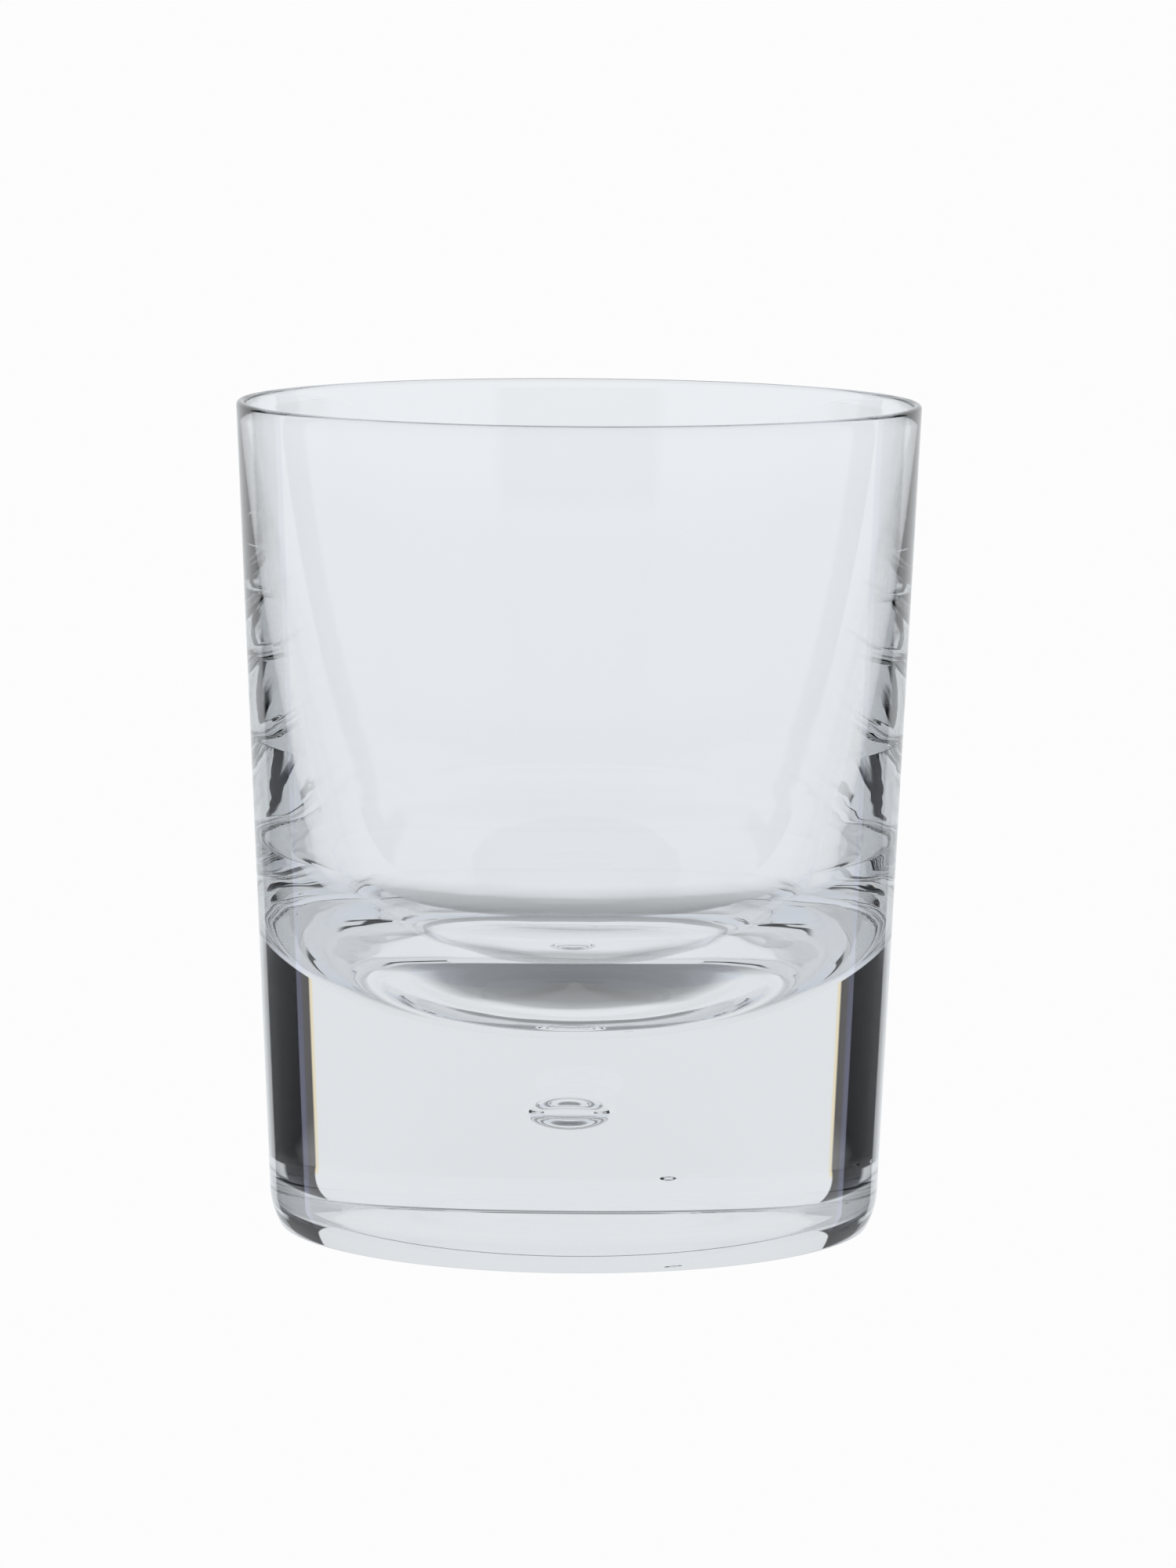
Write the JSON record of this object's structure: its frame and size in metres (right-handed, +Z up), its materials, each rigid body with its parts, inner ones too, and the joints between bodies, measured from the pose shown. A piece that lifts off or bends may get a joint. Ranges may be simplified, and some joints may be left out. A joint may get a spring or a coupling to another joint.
{
  "type": "whiskey tumbler",
  "caption": "Heavy-based whiskey tumbler of clear crystal, gently flared, with a rounded inside floor and an air bubble trapped in its solid base.",
  "frame": {"origin": "centre of the flat foot, where it rests on the table", "axes": "+Z up along the axis the glass was turned about, from the foot to the rim; +X and +Y are alike, as the glass is round"},
  "size_m": [0.0826, 0.0826, 0.1],
  "materials": {
    "bowl": "gloss",
    "base": "gloss",
    "air_bubble": "gloss"
  },
  "bodies": {
    "root": {"bowl": "bowl", "base": "base", "air_bubble": "air_bubble"}
  },
  "joints": []
}
